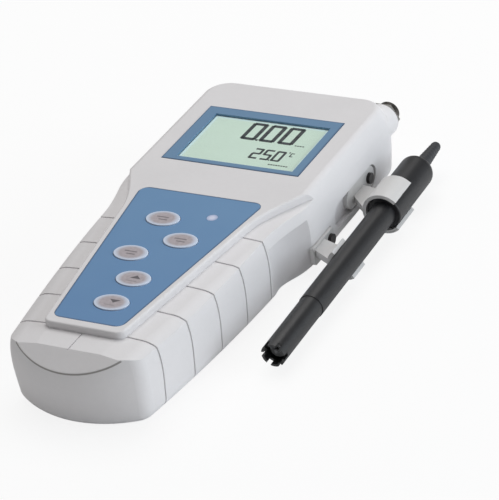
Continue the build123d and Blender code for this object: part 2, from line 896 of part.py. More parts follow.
# Probe socket through the rear wall, with its nut, insulating core and pins
socket_end = socket_face + socket_length
bore_floor = socket_end - socket_bore_depth
with BuildPart() as probe_socket:
    add(socket_way(socket_radius, socket_boss_root, socket_face + socket_nut_thickness + socket_neck))
    add(socket_way(socket_nose_radius, socket_boss_root, socket_end))
    collar_front = socket_boss_root + socket_tail
    add(socket_way(socket_collar_radius, collar_front, collar_front + socket_collar))
    add(socket_way(socket_bore, socket_boss_root, socket_end), mode=Mode.SUBTRACT)
    fillet(probe_socket.faces().sort_by(Axis.Y)[-1].edges(), socket_rim_round)
save(probe_socket, "probe_socket")

with BuildPart() as socket_nut:
    with BuildSketch(socket_plane(socket_face)):
        RegularPolygon(socket_nut_width / 2, 6, major_radius=False)
        Circle(socket_radius + fit / 2, mode=Mode.SUBTRACT)
    extrude(amount=socket_nut_thickness)
save(socket_nut, "socket_nut")

with BuildPart() as socket_core:
    add(socket_way(socket_bore, socket_boss_root, bore_floor))
    with BuildSketch(socket_plane(socket_boss_root)):
        with PolarLocations(socket_pin_circle, socket_pin_count):
            Circle(socket_pin_radius)
    extrude(amount=bore_floor - socket_boss_root, mode=Mode.SUBTRACT)
save(socket_core, "socket_core")

with BuildPart() as socket_pins:
    with BuildSketch(socket_plane(socket_boss_root - socket_pin_tail)):
        with PolarLocations(socket_pin_circle, socket_pin_count):
            Circle(socket_pin_radius)
    extrude(amount=bore_floor + socket_pin_reach - socket_boss_root + socket_pin_tail)
save(socket_pins, "socket_pins")


# Probe: cap, tube, slotted sleeve, sensor core with its rings, seal and strain relief
with BuildPart() as probe_cap:
    add(along_probe(cap_radius, 0, 0, cap_length))
    fillet(probe_cap.faces().sort_by(Axis.Y)[-1].edges(), cap_round)
    fillet(probe_cap.faces().sort_by(Axis.Y)[0].edges(), cap_front_round)
    add(along_probe(tube_radius, 0, -1, tube_rear + seal_thickness), mode=Mode.SUBTRACT)
    add(along_probe(tube_bore, 0, 0, cap_length - relief_seat - cap_shelf), mode=Mode.SUBTRACT)
    add(along_probe(relief_root_radius, 0, cap_length - relief_seat, cap_length + 1), mode=Mode.SUBTRACT)
    add(along_probe(relief_bore, 0, 0, cap_length), mode=Mode.SUBTRACT)
save(probe_cap, "probe_cap")

with BuildPart() as cap_seal:
    add(along_probe(tube_radius, tube_bore, tube_rear, tube_rear + seal_thickness))
save(cap_seal, "cap_seal")

with BuildPart() as probe_tube:
    add(along_probe(tube_radius, tube_bore, tube_front, tube_rear))
save(probe_tube, "probe_tube")

with BuildPart() as probe_sleeve:
    add(along_probe(sleeve_radius, 0, sleeve_front, tube_front))
    add(along_probe(tube_bore, 0, tube_front, tube_front + sleeve_overlap))
    add(along_probe(sleeve_bore, 0, sleeve_front - 1, tube_front + sleeve_overlap + 1), mode=Mode.SUBTRACT)
    with BuildSketch(probe_line.offset(sleeve_front)):
        with PolarLocations(0, notch_count):
            with Locations((sleeve_radius, 0)):
                Rectangle(sleeve_radius, notch_width)
    extrude(amount=notch_depth, mode=Mode.SUBTRACT)
save(probe_sleeve, "probe_sleeve")

ring_starts = [ring_first + ring_pitch * i for i in range(ring_count)]
with BuildPart() as sensor_core:
    add(along_probe(core_radius, 0, core_front, core_rear))
    add(along_probe(tube_bore, 0, tube_front + sleeve_overlap, core_rear))
    for start in ring_starts:
        add(along_probe(ring_radius, ring_inner, start, start + ring_width), mode=Mode.SUBTRACT)
    well = along_probe(thermistor_radius, 0, core_front, core_front + thermistor_length / 2)
    add(well, mode=Mode.SUBTRACT)
save(sensor_core, "sensor_core")

with BuildPart() as electrode_rings:
    for start in ring_starts:
        add(along_probe(ring_radius, ring_inner, start, start + ring_width))
save(electrode_rings, "electrode_rings")

with BuildPart() as temperature_sensor:
    middle = core_front + thermistor_length / 2
    add(along_probe(thermistor_radius, 0, middle - thermistor_length, middle))
    fillet(temperature_sensor.faces().sort_by(Axis.Y)[0].edges(), thermistor_radius / 2)
save(temperature_sensor, "temperature_sensor")

relief_end = cap_length + relief_length
with BuildPart() as strain_relief:
    add(along_probe(relief_root_radius, 0, cap_length - relief_seat, cap_length + relief_collar))
    with BuildSketch(probe_line.offset(cap_length + relief_collar)):
        Circle(relief_neck_radius)
    with BuildSketch(probe_line.offset(relief_end)):
        Circle(relief_tip_radius)
    loft()
    for i in range(relief_grooves):
        start = cap_length + relief_collar + relief_groove_pitch * (i + 1)
        share = (start + relief_groove / 2 - cap_length - relief_collar) / (relief_length - relief_collar)
        depth = relief_neck_radius + (relief_tip_radius - relief_neck_radius) * share - relief_groove_depth
        cut = along_probe(relief_root_radius, depth, start, start + relief_groove)
        add(cut, mode=Mode.SUBTRACT)
    add(along_probe(relief_bore, 0, cap_length - relief_seat - 1, relief_end + 1), mode=Mode.SUBTRACT)
save(strain_relief, "strain_relief")


def probe_clip(inner, front, rear, arm_root, foot):
    """A split ring round the probe, with an arm to a foot on the side of the head."""
    outer = inner + clip_wall
    ring_front = probe_line.offset(front).origin
    ring_rear = probe_line.offset(rear).origin
    level = (ring_front.Z + ring_rear.Z) / 2
    arm_tip = rim_place[0] - inner - clip_wall / 2
    foot_middle = ((foot["front"] + foot["rear"]) / 2, foot["level"])
    with BuildPart() as clip:
        with BuildSketch(Plane.YZ.offset(foot["base"])):
            with Locations(foot_middle):
                RectangleRounded(foot["rear"] - foot["front"], foot["height"], foot["corner"])
        extrude(amount=foot_thickness)
        with BuildSketch(Plane.XY.offset(level - arm_thickness / 2)):
            with BuildLine():
                root_x = foot["base"] + foot_thickness / 2
                root_front, root_rear = arm_root
                Polyline(
                    (root_x, root_front),
                    (root_x, root_rear),
                    (arm_tip, ring_rear.Y),
                    (arm_tip, ring_front.Y),
                    close=True,
                )
            make_face()
        extrude(amount=arm_thickness)
        add(along_probe(outer, 0, front, rear))
        add(along_probe(inner, 0, front - 5, rear + 5), mode=Mode.SUBTRACT)
        with BuildSketch(probe_line.offset(front - 5)):
            with BuildLine():
                reach = 2 * outer
                rise = reach * tan(radians(clip_opening / 2))
                Polyline((0, 0), (reach, rise), (reach, -rise), close=True)
            make_face()
        extrude(amount=rear - front + 10, mode=Mode.SUBTRACT)
        hole_end = foot["base"] + foot_thickness + 1
        add(across_head(foot["screw"], clip_screw_radius, foot["base"] - 1, hole_end), mode=Mode.SUBTRACT)
    return clip


upper_probe_clip = probe_clip(
    cap_radius + rub, upper_clip_front, upper_clip_rear, upper_arm_root, upper_foot
)
save(upper_probe_clip, "upper_probe_clip")

lower_probe_clip = probe_clip(
    tube_radius + rub, lower_clip_front, lower_clip_rear, lower_arm_root, lower_foot
)
save(lower_probe_clip, "lower_probe_clip")

with BuildPart() as clip_screws:
    for foot in (upper_foot, lower_foot):
        face = foot["base"] + foot_thickness
        add(across_head(foot["screw"], clip_screw_head_radius, face, face + clip_screw_head))
        add(across_head(foot["screw"], clip_screw_radius, face - clip_screw_length, face))
save(clip_screws, "clip_screws")
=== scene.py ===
# %% [markdown]
# # A hand-held conductivity meter and its probe
#
# The meter is a moulded white instrument with a display in its wide head, a blue keypad on its narrow
# grip, and a dark probe that snaps into two clips beside it. The solid parts come ready made from the
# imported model. This notebook dresses them: it gives every part a finish, adds the marks of the display
# and the small fixings, and sets the part in a plain studio.

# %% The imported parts
import math

import bpy
from mathutils import Matrix, Vector


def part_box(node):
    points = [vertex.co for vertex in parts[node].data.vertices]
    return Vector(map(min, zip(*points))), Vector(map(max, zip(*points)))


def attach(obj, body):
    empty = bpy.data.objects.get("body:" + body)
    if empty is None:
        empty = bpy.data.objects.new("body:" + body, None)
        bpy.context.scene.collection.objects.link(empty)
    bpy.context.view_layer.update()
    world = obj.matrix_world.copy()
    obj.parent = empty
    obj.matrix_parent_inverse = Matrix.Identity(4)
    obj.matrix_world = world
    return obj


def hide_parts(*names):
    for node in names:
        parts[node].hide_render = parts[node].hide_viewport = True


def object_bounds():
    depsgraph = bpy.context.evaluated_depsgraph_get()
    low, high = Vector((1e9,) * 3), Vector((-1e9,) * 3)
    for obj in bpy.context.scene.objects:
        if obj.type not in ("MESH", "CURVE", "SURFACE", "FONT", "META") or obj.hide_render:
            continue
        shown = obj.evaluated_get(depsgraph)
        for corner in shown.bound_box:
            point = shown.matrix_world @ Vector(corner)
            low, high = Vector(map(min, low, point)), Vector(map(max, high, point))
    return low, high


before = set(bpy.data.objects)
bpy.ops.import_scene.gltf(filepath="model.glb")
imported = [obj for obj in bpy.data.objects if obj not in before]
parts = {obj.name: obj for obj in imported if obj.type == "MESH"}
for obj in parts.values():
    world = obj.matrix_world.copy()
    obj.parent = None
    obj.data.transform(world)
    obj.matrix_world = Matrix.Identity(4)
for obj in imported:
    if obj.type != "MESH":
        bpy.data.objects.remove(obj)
plain_low, plain_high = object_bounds()
mm = 0.001
print(len(parts), "parts, box", [round(side / mm, 1) for side in plain_high - plain_low], "mm")

# %% [markdown]
# ## Colours as the eye reads them
#
# Blender mixes light in linear numbers, while a colour picked from a screen is in display numbers from
# 0 to 255. One helper turns the second into the first, so every finish below can be written the way a
# painter would name it.

# %% Display colours to linear ones
def shade(red, green, blue):
    """A display colour, 0 to 255, as the linear colour that a socket wants."""
    linear = []
    for value in (red, green, blue):
        share = value / 255
        linear.append(share / 12.92 if share <= 0.04045 else ((share + 0.055) / 1.055) ** 2.4)
    return (*linear, 1.0)


print("mid grey is", round(shade(128, 128, 128)[0], 3), "in linear light")

# %% [markdown]
# ## Writing a finish as sums
#
# A procedural finish is a net of small nodes. Wiring them by hand hides the idea, so a socket is
# wrapped in a class that understands plus, minus, times and divided by. An expression such as
# `1 - rim * 0.3` then lays its own Math nodes. Colours never go through Math nodes, which would turn
# them grey: they are blended with Mix.

# %% The socket and the finish
class Wire:
    """A socket that can be used in sums."""

    def __init__(self, finish, socket):
        self.finish = finish
        self.socket = socket

    def sum(self, operation, first, second=0.0, clamp=False):
        settings = {"operation": operation, "use_clamp": clamp}
        return self.finish.node("ShaderNodeMath", settings, {0: first, 1: second})

    def __add__(self, other):
        return self.sum("ADD", self, other)

    def __radd__(self, other):
        return self.sum("ADD", other, self)

    def __sub__(self, other):
        return self.sum("SUBTRACT", self, other)

    def __rsub__(self, other):
        return self.sum("SUBTRACT", other, self)

    def __mul__(self, other):
        return self.sum("MULTIPLY", self, other)

    def __rmul__(self, other):
        return self.sum("MULTIPLY", other, self)

    def __truediv__(self, other):
        return self.sum("DIVIDE", self, other)

    def above(self, level, softness):
        """0 below the level and 1 above it, with a soft step between."""
        return self.sum("ADD", (self - level) / softness, 0.5, clamp=True)

    def size(self):
        return self.sum("ABSOLUTE", self)

    def root(self):
        return self.sum("SQRT", self)

    def zigzag(self):
        """Runs from 0 up to a half and back, again and again."""
        return self.sum("PINGPONG", self, 0.5)

    def most(self, other):
        return self.sum("MAXIMUM", self, other)

    def least(self, other):
        return self.sum("MINIMUM", self, other)


class Finish:
    """A material whose nodes are made by one method."""

    def __init__(self, name):
        self.material = bpy.data.materials.new(name)
        self.material.use_nodes = True
        self.nodes = self.material.node_tree.nodes
        self.links = self.material.node_tree.links
        self.shader = self.nodes["Principled BSDF"]

    def feed(self, socket, value):
        if isinstance(value, Wire):
            self.links.new(value.socket, socket)
        else:
            socket.default_value = value

    def node(self, kind, settings, values, result=0):
        made = self.nodes.new(kind)
        for name, value in settings.items():
            setattr(made, name, value)
        for name, value in values.items():
            self.feed(made.inputs[name], value)
        return Wire(self, made.outputs[result])

    def place(self):
        """The rest place of a point, in metres: it rides with the part."""
        return self.node("ShaderNodeTexCoord", {}, {}, "Object")

    def along(self, axis):
        """One coordinate of that place, in millimetres."""
        return self.node("ShaderNodeSeparateXYZ", {}, {0: self.place()}, axis) / mm

    def noise(self, size, detail=2.0, stretch=(1, 1, 1)):
        """Soft random patches of a size in millimetres, around 0.5."""
        spread = {"Vector": self.place(), "Scale": stretch}
        point = self.node("ShaderNodeMapping", {}, spread)
        values = {"Vector": point, "Scale": 1 / (size * mm), "Detail": detail}
        return self.node("ShaderNodeTexNoise", {}, values)

    def blend(self, factor, first, second):
        """A colour between two, by Mix."""
        colours = {0: factor, 6: first, 7: second}
        return self.node("ShaderNodeMix", {"data_type": "RGBA"}, colours, 2)

    def bump(self, height, depth):
        """A relief of a depth in millimetres where height runs from 0 to 1."""
        return self.node("ShaderNodeBump", {}, {"Height": height, "Distance": depth * mm})

    def set(self, **values):
        for name, value in values.items():
            self.feed(self.shader.inputs[name.replace("_", " ")], value)
        return self.material


def wear(names, material):
    """Puts a material into every material slot of the named parts."""
    for name in names:
        mesh = parts[name].data
        mesh.materials.clear()
        mesh.materials.append(material)


print("sums and finishes are ready")

# %% [markdown]
# ## The moulded housing
#
# The shells are injection moulded in a soft white plastic. The tool leaves a fine spark grain that
# breaks up the gloss, and large areas are never quite one tone. Three noises of different sizes do
# this: the finest drives the bump, and the two larger ones together shift the tone and the roughness.
# The line where the two shells meet at the nose is narrower than a pixel, so it could be a groove in
# the mesh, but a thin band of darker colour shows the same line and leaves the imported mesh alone.

# %% White moulded plastic
bevel_top, bevel_foot = Vector((-110.5, 34.9)), Vector((-120.4, 28.3))
joint_width = 0.3
joint_start = 0.6


def nose_joint(finish):
    """1 in a thin band just below the sloping bevel, where the two shells meet, and 0 elsewhere."""
    slope = (bevel_foot - bevel_top).normalized()
    forward, height = finish.along("Y") - bevel_top.x, finish.along("Z") - bevel_top.y
    below = forward * -slope.y + height * slope.x
    band = 1 - (below - 2 * joint_width).size().above(joint_width, 0.2)
    return band * (bevel_top.x - joint_start - finish.along("Y")).above(0.4, 0.5)


def moulded(name, light, dark, gloss, grain=0.02, joint=False):
    """A moulded plastic with a spark grain and faint clouds of tone."""
    finish = Finish(name)
    clouds = finish.noise(38, 3)
    specks = finish.noise(2.4, 3)
    tone = finish.blend((clouds * 0.7 + specks * 0.3).above(0.5, 0.6), dark, light)
    if joint:
        tone = finish.blend(nose_joint(finish) * 0.75, tone, shade(104, 99, 92))
    roughness = gloss + (specks - 0.5) * 0.16 + (clouds - 0.5) * 0.1
    relief = finish.bump(finish.noise(0.55, 2), grain)
    return finish.set(Base_Color=tone, Roughness=roughness, Normal=relief)


white_light, white_dark = shade(229, 227, 228), shade(221, 219, 220)
housing_white = moulded("housing_white", white_light, white_dark, 0.46, joint=True)
wear(["top_housing", "base_housing", "battery_cover"], housing_white)
clip_white = moulded("clip_white", shade(216, 215, 214), shade(206, 205, 204), 0.38, 0.01)
wear(["upper_probe_clip", "lower_probe_clip"], clip_white)
print("housing and clips are white")

# %% [markdown]
# ## The blue keypad film
#
# The keypad is a film printed from behind and glued to the raised tongue. Its blue has a thin dark
# edge all round, where the cut film casts a little shade, and a faint satin texture. How far a point
# lies inside the outline follows from the part's own box, so that edge is a mask made by sums.

# %% Printed blue film
def box_of(name):
    """The two corners of a part's box, in millimetres."""
    return [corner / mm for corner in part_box(name)]


film_low, film_high = box_of("keypad_overlay")
film_front_half, film_rear_half = 17.1, 32.1
print("film", [round(side, 1) for side in film_high - film_low], "mm")


def printed_blue(name, light, dark, inside):
    """A blue print under a satin film, lighter towards the head, with a painted shade along its edge."""
    finish = Finish(name)
    y = finish.along("Y")
    rise = ((y - film_low.y) / (film_high.y - film_low.y)).above(0.5, 1.4)
    clouds = finish.noise(14, 3)
    tone = finish.blend((rise * 0.75 + clouds * 0.25).above(0.5, 1.0), dark, light)
    # Painted shade: a thin darker band all round the outline, standing in for the little shade the cut film
    # casts.
    tone = finish.blend((1 - inside(finish).above(0.55, 0.5)) * 0.6, tone, shade(58, 84, 118))
    relief = finish.bump(finish.noise(0.7, 2), 0.008)
    return finish.set(Base_Color=tone, Roughness=0.42 + (clouds - 0.5) * 0.12, Normal=relief)


def within_film(finish):
    """How far a point lies inside the film's slanted outline, in millimetres."""
    length, middle = film_high.y - film_low.y, (film_low.y + film_high.y) / 2
    spread = (film_rear_half - film_front_half) / length
    edge = (finish.along("Y") - film_low.y) * spread + film_front_half
    side = (edge - finish.along("X").size()) * math.cos(math.atan(spread))
    ends = (finish.along("Y") - middle).size() * -1 + length / 2
    return side.least(ends)


def within_box(low, high):
    """A measure of how far a point lies inside a rectangle, in millimetres."""
    middle, half = (low + high) / 2, (high - low) / 2

    def measure(finish):
        across = half.x - (finish.along("X") - middle.x).size()
        return across.least(half.y - (finish.along("Y") - middle.y).size())
    return measure


keypad_blue = printed_blue("keypad_blue", shade(106, 146, 184), shade(86, 132, 180), within_film)
wear(["keypad_overlay"], keypad_blue)
within_frame = within_box(*box_of("window_frame"))
frame_blue = printed_blue("frame_blue", shade(104, 140, 172), shade(92, 128, 166), within_frame)
wear(["window_frame"], frame_blue)
print("film and frame are blue")

# %% [markdown]
# ## The five keys
#
# Each key is an oval button: a pale bluish ring printed round a greyish centre with a small picture.
# An oval mask is the root of the sum of squares of the two coordinates, each divided by its half
# length. The pictures are generic: two short bars, or an arrow for up and down.

# %% Keys with a ring and a small mark
def stroke(across, ahead, place, half, soft=0.4):
    """1 on a small printed bar with a centre and two half lengths, and 0 elsewhere."""
    wide = 1 - (across - place[0]).size().above(half[0], soft)
    return (1 - (ahead - place[1]).size().above(half[1], 0.3)) * wide


def key_print(name, mark):
    """The printed look of one key, measured from its own centre."""
    low, high = box_of(name)
    middle, half = (low + high) / 2, (high - low) / 2
    finish = Finish(name + "_print")
    across = finish.along("X") - middle.x
    ahead = finish.along("Y") - middle.y
    along_x, along_y = across / half.x, ahead / half.y
    oval = (along_x * along_x + along_y * along_y).root()
    ring = oval.above(0.68, 0.24)
    clouds = finish.noise(1.6, 3)
    centre = finish.blend(clouds, shade(150, 140, 144), shade(196, 188, 192))
    tone = finish.blend(ring, centre, shade(206, 218, 236))
    tone = finish.blend(oval.above(0.94, 0.05), tone, shade(102, 142, 182))
    if mark == "bars":
        ink = stroke(across, ahead, (-0.4, 0.9), (3.1, 0.42))
        ink = ink.most(stroke(across, ahead, (0.5, -1.1), (2.2, 0.42)))
        strength = 0.6
    else:
        side = 1 if mark == "up" else -1
        tip = (ahead - 1.0) * side
        slope = (across - 0.9).size() + tip * 1.1
        ink = (1 - slope.above(1.5, 0.4)) * (tip + 1.1).above(0.0, 0.3)
        ink = ink.most(stroke(across, ahead, (0, -2.2), (2.6, 0.4)) * 0.35)
        strength = 0.85
    tone = finish.blend(ink * strength, tone, shade(60, 56, 62))
    relief = finish.bump(1 - oval.above(0.9, 0.5), 0.12)
    return finish.set(Base_Color=tone, Roughness=0.38 + clouds * 0.08, Normal=relief)


key_marks = {"power_key": "bars", "mode_key": "bars", "confirm_key": "bars", "up_key": "up", "down_key": "down"}
for key, mark in key_marks.items():
    wear([key], key_print(key, mark))
print("five keys are printed")

# %% [markdown]
# ## The status light
#
# The light is a short rod of milky plastic. Unlit, it is a soft pale spot with a brighter middle.

# %% Milky light
def milky():
    """Milky plastic, brightest in the middle."""
    low, high = box_of("status_light")
    middle = (low + high) / 2
    finish = Finish("milky_light")
    across, ahead = finish.along("X") - middle.x, finish.along("Y") - middle.y
    far = (across * across + ahead * ahead).root()
    tone = finish.blend(far.above(1.9, 2.2), shade(214, 218, 238), shade(150, 172, 208))
    return finish.set(Base_Color=tone, Roughness=0.32 + finish.noise(0.8) * 0.06)


wear(["status_light"], milky())
print("status light is milky")

# %% [markdown]
# ## The display
#
# A liquid crystal display is a sandwich: a greenish grey reflector behind glass, with a clear plastic
# window above. The reflector is faintly mottled. The window is almost fully see-through. It could be
# made of refracting glass, but low alpha and a sharp gloss render faster and look the same here.

# %% Reflector and clear window
frame_opening = (Vector((-29.7, 42.9, 0)), Vector((31.5, 84.4, 0)))


def reflector():
    """Greenish grey, a little lighter and cooler beside the frame."""
    finish = Finish("display_reflector")
    fine = finish.noise(0.5, 2)
    clouds = finish.noise(24, 2)
    mottle = (fine * 0.4 + clouds * 0.6).above(0.5, 0.8)
    tone = finish.blend(mottle, shade(206, 230, 210), shade(218, 240, 226))
    edge = 1 - within_box(*frame_opening)(finish).above(1.4, 1.6)
    tone = finish.blend(edge * 0.85, tone, shade(222, 250, 252))
    return finish.set(Base_Color=tone, Roughness=0.5 + (fine - 0.5) * 0.1)


def clear_window():
    """A film that is almost only gloss, with faint smears."""
    finish = Finish("clear_window")
    smears = finish.noise(9, 4)
    finish.set(Base_Color=finish.blend(smears, shade(200, 214, 218), shade(214, 224, 228)))
    finish.set(Roughness=0.06 + smears * 0.08, Alpha=0.02 + smears * 0.03)
    return finish.material


display_grey = reflector()
wear(["lcd_panel"], display_grey)
clear_film = clear_window()
print("display is ready for its marks")

# %% [markdown]
# ## The probe
#
# The sleeve and tube are dark satin plastic with fine turning marks, the cap is a softer dark grey, and
# the rubber boots are matt. The turning marks run round the probe, so their noise is stretched: long
# round the axis, short along it.

# %% Dark plastics and rubbers
def dark_satin(name, light, dark, gloss, size=1.2, depth=0.01, stretch=(1, 1, 1)):
    """A dark moulding: faint clouds, fine scratches and a satin sheen."""
    finish = Finish(name)
    clouds = finish.noise(11, 3)
    fine = finish.noise(size, 3, stretch)
    tone = finish.blend((clouds * 0.6 + fine * 0.4).above(0.5, 0.7), dark, light)
    roughness = gloss + (clouds - 0.5) * 0.14 + (fine - 0.5) * 0.1
    return finish.set(Base_Color=tone, Roughness=roughness, Normal=finish.bump(fine, depth))


probe_black = dark_satin("probe_black", shade(34, 34, 36), shade(22, 22, 24), 0.4, 0.5, 0.006, (1, 6, 1))
relief_rubber = dark_satin("relief_rubber", shade(56, 57, 60), shade(42, 43, 46), 0.55, 0.5, 0.02)
wear(["probe_tube", "probe_sleeve"], probe_black)
wear(["strain_relief"], relief_rubber)
plain_darks = {
    "probe_cap": ("cap_black", (38, 38, 40), (26, 26, 28), 0.4),
    "cap_seal": ("seal_rubber", (40, 40, 42), (28, 28, 30), 0.6),
    "lcd_strips": ("strip_rubber", (92, 92, 96), (70, 70, 74), 0.6),
    "board_chips": ("chip_black", (46, 46, 48), (34, 34, 36), 0.45),
    "socket_core": ("socket_black", (48, 48, 52), (34, 34, 38), 0.4),
    "battery_cells": ("cell_wrap", (66, 70, 78), (46, 48, 54), 0.3, 3, 0.01),
    "battery_leads": ("lead_sleeve", (150, 46, 42), (118, 32, 30), 0.42, 0.8, 0.01),
}
for part, (name, light, dark, *rest_of_it) in plain_darks.items():
    wear([part], dark_satin(name, shade(*light), shade(*dark), *rest_of_it))
core_grey = dark_satin("core_grey", shade(96, 96, 98), shade(74, 74, 76), 0.4)
wear(["sensor_core", "temperature_sensor"], core_grey)
wear(["lcd_holder"], moulded("holder_white", shade(205, 207, 210), shade(194, 196, 199), 0.5))
print("probe and inner plastics are done")

# %% [markdown]
# ## Metals
#
# Steel, nickel and stainless rings share one recipe: a metallic surface whose roughness is streaked
# by a noise. For the turned ring and the socket that noise is stretched, so that its streaks run
# round them as the marks of turning do.

# %% Streaked metal
def metal(name, light, dark, gloss, stretch=(1, 1, 1)):
    """A plain metal with streaks and small dull patches."""
    finish = Finish(name)
    streaks = finish.noise(0.8, 3, stretch)
    patches = finish.noise(5, 3)
    tone = finish.blend((streaks * 0.5 + patches * 0.5).above(0.5, 0.8), dark, light)
    roughness = gloss + (streaks - 0.5) * 0.2 + (patches - 0.5) * 0.12
    relief = finish.bump(streaks, 0.006)
    return finish.set(Base_Color=tone, Metallic=1.0, Roughness=roughness, Normal=relief)


turned = (1, 5, 1)
wear(["board_screws", "housing_screws", "cover_screw"],
     metal("screw_steel", shade(190, 190, 192), shade(150, 150, 154), 0.32))
plain_metals = {
    "clip_screws": ("blackened_steel", (72, 70, 70), (48, 46, 46), 0.38),
    "probe_socket": ("socket_grey", (100, 96, 92), (66, 62, 60), 0.38, turned),
    "socket_nut": ("nut_nickel", (214, 212, 208), (180, 178, 174), 0.3),
    "socket_pins": ("pin_gold", (226, 190, 118), (190, 152, 84), 0.24),
    "electrode_rings": ("ring_steel", (206, 206, 208), (170, 170, 174), 0.22, turned),
    "battery_contacts": ("contact_nickel", (200, 200, 198), (168, 168, 166), 0.26),
    "key_switches": ("switch_dome", (196, 196, 194), (158, 158, 158), 0.3),
}
for part, (name, light, dark, *rest_of_it) in plain_metals.items():
    wear([part], metal(name, shade(*light), shade(*dark), *rest_of_it))
print("metals are done")

# %% [markdown]
# ## The circuit board
#
# Green solder mask over glass fibre: the copper tracks below show as slightly lighter lines. Two sets
# of thin stripes crossed and broken up by noise give that impression without drawing a circuit.

# %% Solder mask
def solder_mask():
    """Green, with lighter lines where copper lies below."""
    finish = Finish("solder_mask")
    stripes = (finish.along("X") * 0.55).zigzag().above(0.4, 0.08)
    cross = (finish.along("Y") * 0.42).zigzag().above(0.42, 0.08)
    gate = finish.noise(9, 1)
    tracks = (stripes * gate.above(0.52, 0.05)).most(cross * (1 - gate.above(0.46, 0.05)))
    tone = finish.blend(tracks, shade(20, 86, 52), shade(44, 122, 76))
    roughness = 0.34 + finish.noise(2) * 0.1
    return finish.set(Base_Color=tone, Roughness=roughness, Normal=finish.bump(tracks, 0.02))


wear(["circuit_board"], solder_mask())
print("every part has a finish")

# %% [markdown]
# ## Digits on the display
#
# A seven segment digit is the same seven bars each time, with some left out. A small table says which
# bars each digit lights, a loop lays them as thin plates on the display's face, and the real display's
# slight lean is a shear of every corner.

# %% Seven segments
panel_low, panel_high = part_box("lcd_panel")
lens_low, lens_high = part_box("window_lens")
film_thickness = 0.15 * mm
film_clearance = 0.06 * mm
face_top = lens_high.z - film_thickness - film_clearance
ink_height = 0.05 * mm
lean = 0.03
lit = {"0": "abcdef", "2": "abdeg", "5": "acdfg"}


def bar(start, end, width):
    """The outline of one bar, a little longer than the way between two points in millimetres."""
    start, end = Vector(start), Vector(end)
    way = (end - start).normalized()
    side = Vector((-way.y, way.x)) * width / 2
    point = way * width * 0.22
    lower = side * 0.9
    return [start - point + side, start - lower - point, end + point - lower, end + point + side]


def digit(figure, left, foot, wide, tall, stroke):
    """The lit bars of one figure whose outer corner is at left and foot."""
    x0, x1 = left + stroke / 2, left + wide - stroke / 2
    y0, y2 = foot + stroke / 2, foot + tall - stroke / 2
    y1 = (y0 + y2) / 2
    gap = 0.06 * stroke
    ends = {
        "a": ((x0 + gap, y2), (x1 - gap, y2)), "b": ((x1, y2 - gap), (x1, y1 + gap)),
        "c": ((x1, y1 - gap), (x1, y0 + gap)), "d": ((x0 + gap, y0), (x1 - gap, y0)),
        "e": ((x0, y0 + gap), (x0, y1 - gap)), "f": ((x0, y1 + gap), (x0, y2 - gap)),
        "g": ((x0 + gap, y1), (x1 - gap, y1)),
    }
    return [bar(*ends[name], stroke) for name in lit[figure]]


def piece_of(name, corners, faces, material=None):
    """A new object in the scene from corners and faces."""
    mesh = bpy.data.meshes.new(name)
    mesh.from_pydata(corners, [], faces)
    if material:
        mesh.materials.append(material)
    piece = bpy.data.objects.new(name, mesh)
    bpy.context.scene.collection.objects.link(piece)
    return piece


def plates(name, outlines, material, foot):
    """Thin flat plates from outlines in millimetres, lying on the display's face."""
    corners, faces = [], []
    top = face_top + ink_height
    for outline in outlines:
        count, first = len(outline), len(corners)
        for level in (face_top - ink_height, top):
            for point in outline:
                slant = lean * (point.y - foot)
                corners.append(((point.x + slant) * mm, point.y * mm, level))
        faces.append([first + i for i in range(count)][::-1])
        faces.append([first + count + i for i in range(count)])
        for i in range(count):
            j = (i + 1) % count
            faces.append([first + i, first + j, first + count + j, first + count + i])
    piece = piece_of(name, corners, faces, material)
    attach(piece, "housing")
    print(name, len(outlines), "plates")
    return piece


# %% The face of the display and the film over it
def slab(name, low, high, floor, top, material):
    """A flat rectangular plate of the display, between two levels."""
    corners = [(x, y, z) for z in (floor, top)
               for x, y in ((low.x, low.y), (high.x, low.y), (high.x, high.y), (low.x, high.y))]
    faces = [[3, 2, 1, 0], [4, 5, 6, 7], [0, 1, 5, 4], [1, 2, 6, 5], [2, 3, 7, 6], [3, 0, 4, 7]]
    piece = piece_of(name, corners, faces, material)
    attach(piece, "housing")
    print(name, round((top - floor) / mm, 2), "mm thick")
    return piece


gap = Vector((0.15, 0.15, 0))
face_low, face_high = (frame_opening[0] + gap) * mm, (frame_opening[1] - gap) * mm
slab("display_face", face_low, face_high, panel_high.z, face_top, display_grey)
film_foot = lens_high.z - film_thickness
window_film = slab("window_film", lens_low, lens_high, film_foot, lens_high.z, clear_film)
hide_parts("window_lens")

# %% The two readings and their small marks
def display_ink():
    """Almost black, with a green breath."""
    finish = Finish("display_ink")
    tone = finish.blend(finish.noise(1.5), shade(12, 20, 24), shade(20, 30, 34))
    return finish.set(Base_Color=tone, Roughness=0.45 + finish.noise(0.6) * 0.05)


ink = display_ink()
large_left, large_foot, large_pitch = -8.5, 66.6, 9.85
large = []
for place in range(3):
    large += digit("0", large_left + place * large_pitch, large_foot, 8.3, 16.0, 2.2)
large.append(bar((0.25, large_foot + 0.8), (0.75, large_foot + 0.8), 1.4))
plates("large_reading", large, ink, large_foot)

small_left, small_foot, small_pitch = 3.6, 51.1, 5.8
small = []
for place, figure in enumerate("250"):
    small += digit(figure, small_left + place * small_pitch, small_foot, 4.9, 9.5, 1.35)
small.append(bar((14.55, small_foot + 0.5), (14.85, small_foot + 0.5), 0.9))
plates("small_reading", small, ink, small_foot)



def dashes(left, level, count):
    """A row of short dashes, in place of small print."""
    return [bar((left + step * 1.3, level), (left + step * 1.3 + 0.6, level), 0.8) for step in range(count)]


marks = dashes(20.9, 66.9, 4) + dashes(16.7, 48.0, 8)
marks.append(bar((21.6, 60.2), (22.0, 60.2), 0.9))
for start, end in (((23.0, 59.8), (24.4, 59.8)), ((23.0, 57.0), (24.4, 57.0)), ((23.0, 59.6), (23.0, 57.2))):
    marks.append(bar(start, end, 0.6))
plates("unit_marks", marks, ink, 60.0)

